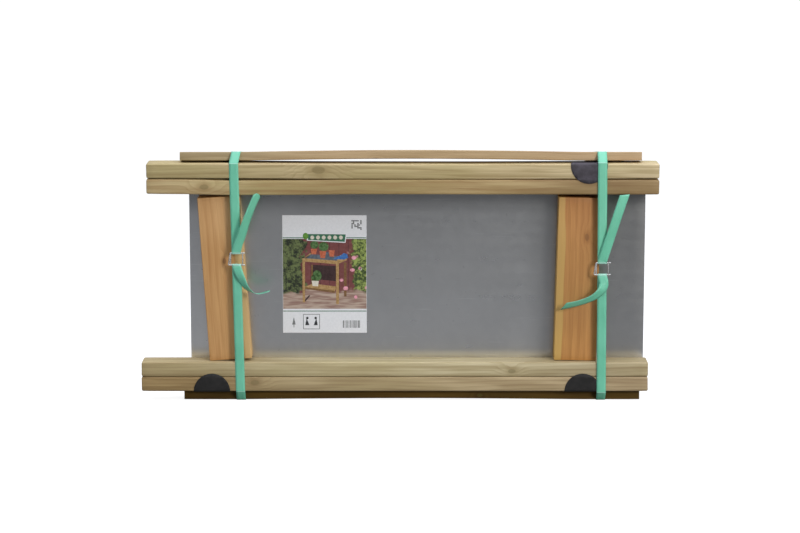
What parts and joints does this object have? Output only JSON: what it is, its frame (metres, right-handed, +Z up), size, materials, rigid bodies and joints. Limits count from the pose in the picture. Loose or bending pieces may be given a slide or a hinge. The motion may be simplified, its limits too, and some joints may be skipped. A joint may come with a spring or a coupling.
{
  "type": "potting bench flat pack",
  "caption": "Potting bench strapped as a flat pack: wooden legs, rails, boards and slats bundled round a zinc worktop sheet, with wire buckles, edge pads and a picture label.",
  "frame": {"origin": "centre of the pack's footprint, on the surface it stands on", "axes": "+X along the legs, -Y the front face with the label, +Z up"},
  "size_m": [0.904, 0.1172, 0.4433],
  "materials": {
    "leg_wood": "planed pressure-treated pine, olive-straw",
    "board_wood": "planed pressure-treated pine",
    "rail_wood": "planed orange-brown pine",
    "zinc": "satin galvanised sheet",
    "strap_plastic": "embossed green strapping",
    "buckle_wire": "bright galvanised wire",
    "pad_rubber": "matt black",
    "label_paper": "printed self-adhesive paper",
    "bag_film": "clear film",
    "screw_steel": "yellow passivated",
    "leaflet_paper": "folded white paper"
  },
  "bodies": {
    "root": {"top_leg_upper": "leg_wood", "top_leg_lower": "leg_wood", "bottom_leg_upper": "leg_wood", "bottom_leg_lower": "leg_wood", "cross_rail_left": "rail_wood", "cross_rail_left_inner": "rail_wood", "cross_rail_right": "rail_wood", "cross_rail_right_inner": "rail_wood", "worktop_sheet": "zinc", "top_board": "board_wood", "bottom_board": "board_wood", "shelf_slat_1": "board_wood", "shelf_slat_2": "board_wood", "shelf_slat_3": "board_wood", "shelf_slat_4": "board_wood", "back_board": "board_wood", "top_batten_1": "board_wood", "top_batten_2": "board_wood", "side_board_left": "board_wood", "side_board_right": "board_wood", "strap_left": "strap_plastic", "strap_right": "strap_plastic", "buckle_left": "buckle_wire", "buckle_right": "buckle_wire", "edge_pad_bottom_left": "pad_rubber", "edge_pad_bottom_right": "pad_rubber", "edge_pad_top_right": "pad_rubber", "label": "label_paper", "fixings_bag": "bag_film", "screws": "screw_steel", "leaflet": "leaflet_paper"}
  },
  "joints": []
}
